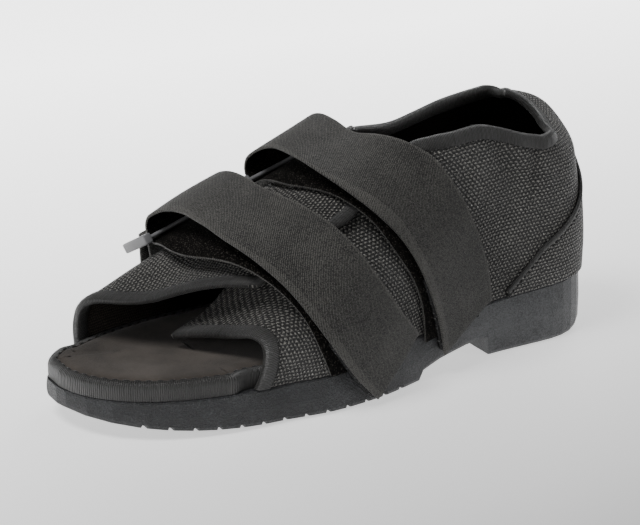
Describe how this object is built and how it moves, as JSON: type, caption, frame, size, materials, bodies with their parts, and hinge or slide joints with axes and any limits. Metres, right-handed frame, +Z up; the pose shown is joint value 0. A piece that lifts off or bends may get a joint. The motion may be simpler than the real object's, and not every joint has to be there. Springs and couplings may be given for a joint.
{
  "type": "post operative shoe",
  "caption": "Open-toed post-operative shoe: mesh upper with lapped flaps, two straps through rings, wrapped footbed and rubber unit sole.",
  "frame": {"origin": "centre of the bounding box at the floor", "axes": "+X from heel to toe, +Y to the wearer's left, +Z up"},
  "size_m": [0.292, 0.113, 0.1252],
  "materials": {
    "rubber": "matt, finely pebbled",
    "footbed_cloth": "brushed cloth",
    "mesh_cloth": "knitted mesh with a slight glint",
    "strap_webbing": "fine woven webbing with a brushed nap",
    "hook_tape": "hook tape, dark with small glints",
    "ring_plastic": "light grey moulded plastic, semi-gloss"
  },
  "bodies": {
    "root": {"outsole": "rubber", "footbed": "footbed_cloth", "upper": "mesh_cloth", "heel_counter": "mesh_cloth", "front_strap": "strap_webbing", "back_strap": "strap_webbing", "front_hook_patch": "hook_tape", "back_hook_patch": "hook_tape", "front_ring": "ring_plastic", "back_ring": "ring_plastic", "front_ring_tab": "strap_webbing", "back_ring_tab": "strap_webbing"}
  },
  "joints": []
}
